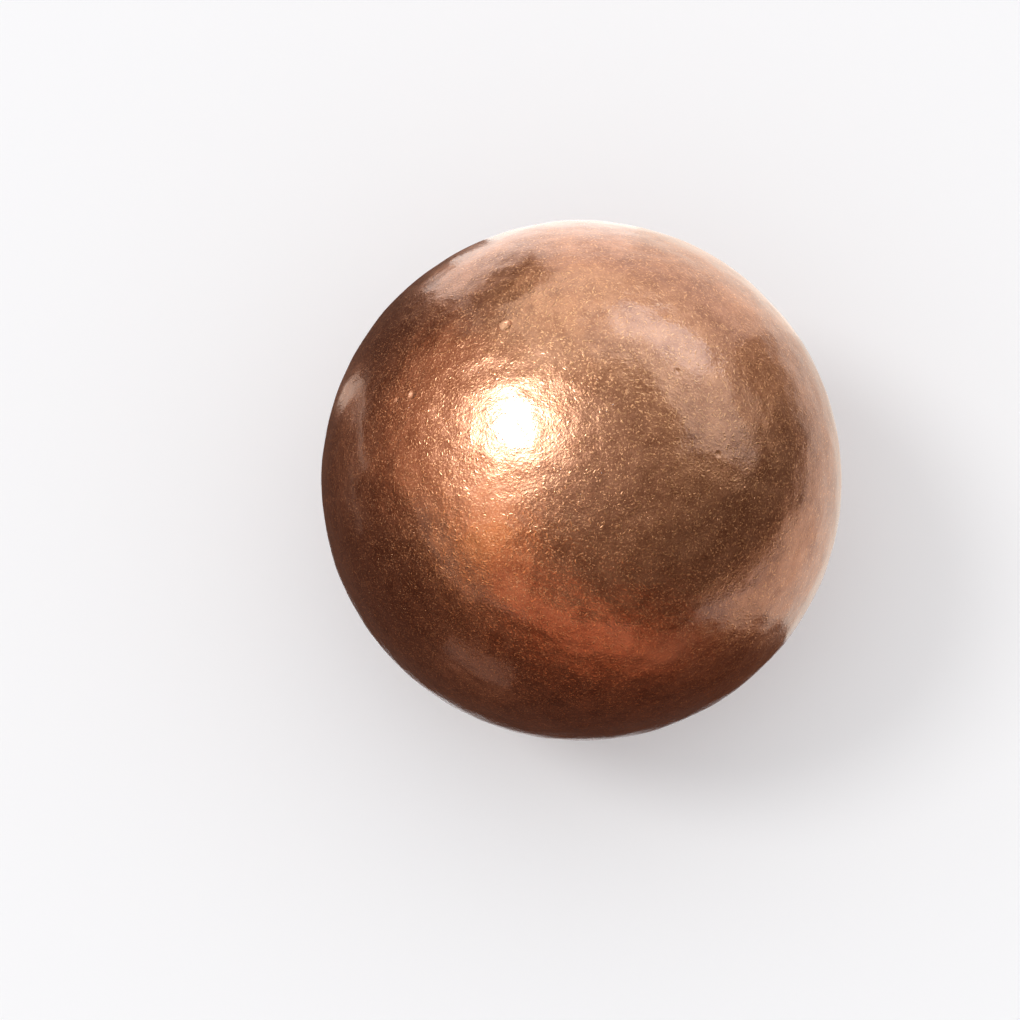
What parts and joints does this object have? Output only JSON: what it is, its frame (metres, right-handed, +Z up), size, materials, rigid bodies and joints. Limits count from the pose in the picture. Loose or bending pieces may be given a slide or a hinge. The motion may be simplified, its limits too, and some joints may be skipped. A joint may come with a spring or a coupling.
{
  "type": "copper sphere",
  "caption": "Solid copper ball with a brown tumbled surface of fine burnished flecks and a few small nicks, kept in a ring or cupped stand.",
  "frame": {"origin": "centre of the ball", "axes": "+Z up, away from the stand that the ball sits in; +X to the right and +Y away from the viewer"},
  "size_m": [0.05, 0.05, 0.05],
  "materials": {
    "copper": "tumbled solid copper, tarnished brown, covered in short bright burnished flecks"
  },
  "bodies": {
    "root": {"ball": "copper"}
  },
  "joints": []
}
